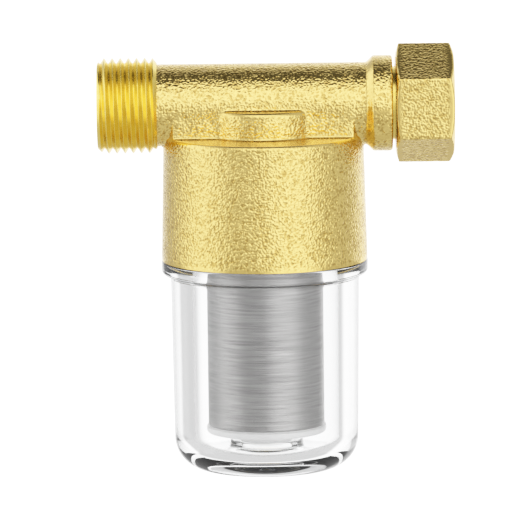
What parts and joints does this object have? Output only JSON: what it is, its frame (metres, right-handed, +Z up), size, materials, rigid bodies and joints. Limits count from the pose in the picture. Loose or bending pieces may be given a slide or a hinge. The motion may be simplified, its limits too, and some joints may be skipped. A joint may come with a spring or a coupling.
{
  "type": "magnetic system filter",
  "caption": "In-line brass water filter: male pipe thread, swivel nut, clear screw-on bowl and a fine mesh cartridge with a magnet core.",
  "frame": {"origin": "centre of the bowl's flat underside", "axes": "+Z up along the bowl's axis, +X along the run from the threaded outlet to the swivel nut inlet, -Y towards the front"},
  "size_m": [0.0794, 0.0462, 0.095],
  "materials": {
    "cast_brass": "sandblasted forging with a fine hammered grain, threads machined",
    "bright_brass": "turned",
    "spring_steel": "drawn wire",
    "stainless_mesh": "fine woven mesh, satin",
    "stainless_tube": "drawn tube",
    "magnet_nickel": "nickel plated",
    "soft_iron": "turned",
    "clear_plastic": "clear, polished",
    "white_plastic": "moulded",
    "silicone": "translucent silicone rubber",
    "fibre": "flat sealing washer"
  },
  "bodies": {
    "head": {"filter_head": "cast_brass", "nut_retaining_ring": "spring_steel"},
    "nut": {"swivel_nut": "cast_brass", "union_washer": "fibre"},
    "bowl_carrier": {"bowl_o_ring": "silicone"},
    "bowl": {"filter_bowl": "clear_plastic"},
    "cartridge": {"mesh_sleeve": "stainless_mesh", "support_cage": "white_plastic", "cartridge_top_cap": "white_plastic", "cartridge_bottom_cap": "white_plastic", "cartridge_o_ring": "silicone", "magnet_sheath": "stainless_tube", "magnet_1": "magnet_nickel", "magnet_2": "magnet_nickel", "magnet_3": "magnet_nickel", "magnet_4": "magnet_nickel", "pole_disc_1": "soft_iron", "pole_disc_2": "soft_iron", "pole_disc_3": "soft_iron", "pole_disc_4": "soft_iron", "pole_disc_5": "soft_iron", "magnet_plug": "bright_brass", "plug_o_ring": "silicone"}
  },
  "joints": [
    {"name": "nut_spin", "type": "hinge", "parent": "head", "child": "nut", "pos_m": [0.036, 0, 0.0816], "axis": [1, 0, 0], "continuous": true},
    {"name": "bowl_lower", "type": "slide", "parent": "head", "child": "bowl_carrier", "axis": [0, 0, -1], "range_m": [0, 0.09]},
    {"name": "bowl_unscrew", "type": "hinge", "parent": "bowl_carrier", "child": "bowl", "pos_m": [0, 0, 0], "axis": [0, 0, -1], "range_deg": [0, 10800]},
    {"name": "cartridge_pull", "type": "slide", "parent": "head", "child": "cartridge", "axis": [0, 0, -1], "range_m": [0, 0.034]}
  ],
  "couplings": [
    {"joint": "bowl_lower", "follows": "bowl_unscrew", "m_per_rad": 0.00047746},
    {"joint": "cartridge_pull", "follows": "bowl_unscrew", "m_per_rad": 0.00018}
  ]
}
